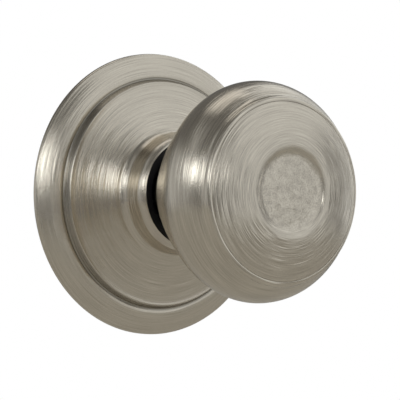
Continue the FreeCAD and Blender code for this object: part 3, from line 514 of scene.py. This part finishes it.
def zinc_sheet(name):
    """Bright zinc on rolled sheet: pale crystals, rolling lines, a blue and yellow cast and
    handling stains, duller and darker."""
    material, shade = new_material(name)
    place = shade.add("TexCoord", out=3)
    crystals = shade.add("TexVoronoi", out=1, Vector=place, Scale=330.0)
    crystal = crystals.part(0) - 0.5
    rolled = noise(shade, place, 0.5, 3.0, (0.03, 1, 1))
    cloud = noise(shade, place, 14.0, 3.0)
    stain = noise(shade, place, 5.0, 5.0).step(0.08, 0.2)
    pits = noise(shade, place, 0.7, 3.0).step(0.16, 0.3)
    cast = shade.mix(cloud * 1.6 + 0.5, (0.50, 0.54, 0.60), (0.64, 0.61, 0.50))
    plated = shade.mix(crystal * 0.4 + rolled * 0.5 + 0.4, cast, (0.72, 0.72, 0.71))
    dulled = shade.mix(stain * 0.35, plated, (0.36, 0.35, 0.33))
    finished(shade, shade.mix(pits * 0.5, dulled, (0.16, 0.15, 0.14)),
             0.36 + crystal * 0.12 + rolled * 0.15 + stain * 0.14,
             rolled * 0.5 + crystal * 0.1 - pits * 0.6, 0.05)
    return material


dressed("mounting_plate", zinc_sheet("zinc_plate"))
dressed("spring_cage", zinc_sheet("zinc_cage"))
dressed("knob_stiffener", zinc_sheet("zinc_stiffener"))


# ------------------------------------------------------------------------------------------
# The bearing hub staked into the plate, the drive sleeve that turns in it and the thrust washer
# between them are steel, turned and then blackened, with bare steel where they rub.

bore_edge = 0.02
bore_relief = 3.0 * math.sin(0.5)


def turned_steel(name, bright, tint, fold_x=0.0, fold_z=0.0, bore=0.0, wear=0.0):
    """Steel from the lathe: tool rings about its own axis, an oily film and scratches. The axis
    lies fold_x and fold_z millimetres to either side of the knob's own. At the radius bore the
    relief has a step, which darkens the edge of the hole; no thread is drawn in it. Wear is the
    share of the tint that has rubbed off."""
    material, shade = new_material(name)
    place = shade.add("TexCoord", out=3)
    folded = shade.vector("ABSOLUTE", place)
    own = shade.vector("SUBTRACT", folded, (fold_x / 1000, 0, fold_z / 1000))
    radius = shade.vector("LENGTH", shade.vector("MULTIPLY", own, (1, 0, 1)), out=1) * 1000
    forward = place.part(1) * -1000
    across = shade.add("CombineXYZ", X=(radius - forward) * 7.0)
    rings = shade.add("TexNoise", Vector=across, Scale=1.0, Detail=2.0) - 0.5
    film = noise(shade, place, 6.0, 4.0)
    scratches = noise(shade, place, 0.35, 2.0, (1, 0.12, 0.4))
    rubbed = (noise(shade, place, 3.0, 4.0) + wear * 0.5 - 0.25).step(0.0, 0.14)
    steel = shade.mix(rings * 0.5 + film * 0.6 + 0.5, bright,
                      tuple(min(1.0, part * 1.25) for part in bright))
    metal = shade.mix(rubbed, tint, steel)
    height = rings * 0.5 + scratches * 0.3
    if bore:
        height += (1 - radius.step(bore - bore_edge, bore + bore_edge)) * bore_relief
    finished(shade, metal, 0.30 + rings * 0.12 + film * 0.16 + rubbed * -0.06, height, 0.06)
    return material


steel_bright = (0.50, 0.49, 0.475)
oxide_black = (0.035, 0.034, 0.036)
for node in ("bearing_hub", "drive_sleeve", "thrust_washer"):
    dressed(node, turned_steel("black_" + node, steel_bright, oxide_black, wear=0.35))


# ------------------------------------------------------------------------------------------
# Two threaded posts, staked to the plate, take the long screws from the other side of the door.
# Eight rivets hold the cage and the clips, and two pins stop the cam. All are turned and plated
# in zinc, which has worn thin on the pins.

zinc_bright = (0.60, 0.60, 0.59)
zinc_yellow = (0.52, 0.47, 0.36)
dressed("screw_posts", turned_steel("zinc_posts", zinc_bright, zinc_yellow,
                                    fold_z=19.05, bore=1.7, wear=0.7))
dressed("cage_rivets", turned_steel("zinc_rivets", zinc_bright, zinc_yellow,
                                    fold_x=17.8, fold_z=6.5, wear=0.8))
dressed("clip_rivets", turned_steel("zinc_clip_rivets", zinc_bright, zinc_yellow,
                                    fold_x=14.0, fold_z=14.0, wear=0.8))
dressed("stop_pins", turned_steel("steel_stop_pins", steel_bright, zinc_yellow,
                                  fold_x=11.39, fold_z=2.21, wear=0.9))


# ------------------------------------------------------------------------------------------
# Inside the knob a steel shank is pressed into the shell's neck. The cam and the end washer turn
# behind the plate, and the catch that locks the knob sits in the sleeve. All are steel with a
# brown film of oil, rubbed bright.

oil_brown = (0.30, 0.26, 0.20)
for node in ("knob_shank", "end_washer", "drive_cam", "knob_catch"):
    dressed(node, turned_steel("steel_" + node, steel_bright, oil_brown, wear=0.8))


# ------------------------------------------------------------------------------------------
# The D-shaped spindle is drawn steel bar, zinc plated, with a cross pin that holds it in the
# sleeve. Drawing leaves lines along both, and they are rubbed bright in patches.

def drawn_bar(name, plain, bright, along):
    """Drawn bar or wire: lines along it, a mottled film and rubbed patches. Along is the stretch
    that draws the lines out."""
    material, shade = new_material(name)
    place = shade.add("TexCoord", out=3)
    drawn = noise(shade, place, 0.3, 3.0, along)
    film = noise(shade, place, 4.0, 4.0)
    rubbed = noise(shade, place, 2.2, 3.0).step(0.05, 0.2)
    dots = noise(shade, place, 0.4, 2.0).step(0.2, 0.32)
    metal = shade.mix(rubbed * 0.5 + drawn * 0.9 + film * 0.4 + 0.1, plain, bright)
    finished(shade, shade.mix(dots * 0.6, metal, (0.08, 0.07, 0.06)),
             0.32 + drawn * 0.2 + film * 0.2, drawn - dots * 0.5, 0.04)
    return material


lengthwise = (1, 0.03, 1)
dressed("spindle", drawn_bar("zinc_spindle", (0.46, 0.46, 0.45), (0.68, 0.68, 0.67), lengthwise))
dressed("spindle_pin", drawn_bar("steel_pin", (0.34, 0.33, 0.32), (0.58, 0.57, 0.55),
                                 (0.03, 1, 1)))


# ------------------------------------------------------------------------------------------
# The return spring, the catch spring, the retaining ring and the rose's four clips are spring
# steel, hardened in oil: dark blue and straw brown, rubbed bright here and there.

spring_blue = (0.10, 0.105, 0.125)
spring_straw = (0.34, 0.30, 0.24)
for node, along in (("return_spring", (1, 4, 1)), ("retaining_ring", (1, 1, 0.3)),
                    ("rose_clips", (1, 0.2, 1))):
    dressed(node, drawn_bar("spring_" + node, spring_blue, spring_straw, along))

# the catch spring is a merged copy of its node, with a mesh of its own
coil_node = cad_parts["catch_spring"]
coil_mesh = coil_node.data.copy()
coil_mesh.transform(coil_node.matrix_world)
coil = bpy.data.objects.new("catch_spring_coil", coil_mesh)
bpy.context.scene.collection.objects.link(coil)
pick(coil)
bpy.ops.object.mode_set(mode="EDIT")
bpy.ops.mesh.select_all(action="SELECT")
bpy.ops.mesh.remove_doubles(threshold=merge_distance)
bpy.ops.object.mode_set(mode="OBJECT")
bpy.ops.object.shade_smooth_by_angle(angle=smooth_angle)
stands_for(coil, "catch_spring", "knob",
           drawn_bar("spring_catch_coil", spring_blue, spring_straw, (1, 3, 3)))
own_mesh(coil)


# ------------------------------------------------------------------------------------------
# The sleeve turns in a bushing of black nylon, whose flange shows as the dark ring behind the
# knob's neck; its black is partly painted shade, standing in for the shade in the gap there. The
# return spring is wound about a spool of white nylon.

def nylon(name, dark, pale, gloss):
    """Moulded nylon: a fine grain, flow clouds and scuffs that have whitened."""
    material, shade = new_material(name)
    place = shade.add("TexCoord", out=3)
    grain = noise(shade, place, 0.18, 2.0)
    flow = noise(shade, place, 7.0, 2.0, (1, 0.3, 1))
    scuff = noise(shade, place, 0.8, 4.0, (1, 0.25, 1)).step(0.14, 0.3)
    colour = shade.mix(flow * 0.7 + scuff * 0.5 + 0.25, dark, pale)
    finished(shade, colour, gloss + grain * 0.15 + scuff * 0.2, grain + scuff * 0.4, 0.03, 0.0)
    return material


# partly painted shade: the black of the bushing's flange stands in for the shade in the gap behind
# the knob's neck
dressed("hub_bushing", nylon("nylon_black_and_painted_shade", (0.009, 0.009, 0.010), (0.030, 0.030, 0.031), 0.5))
dressed("spring_spool", nylon("nylon_white", (0.66, 0.64, 0.58), (0.80, 0.79, 0.75), 0.4))
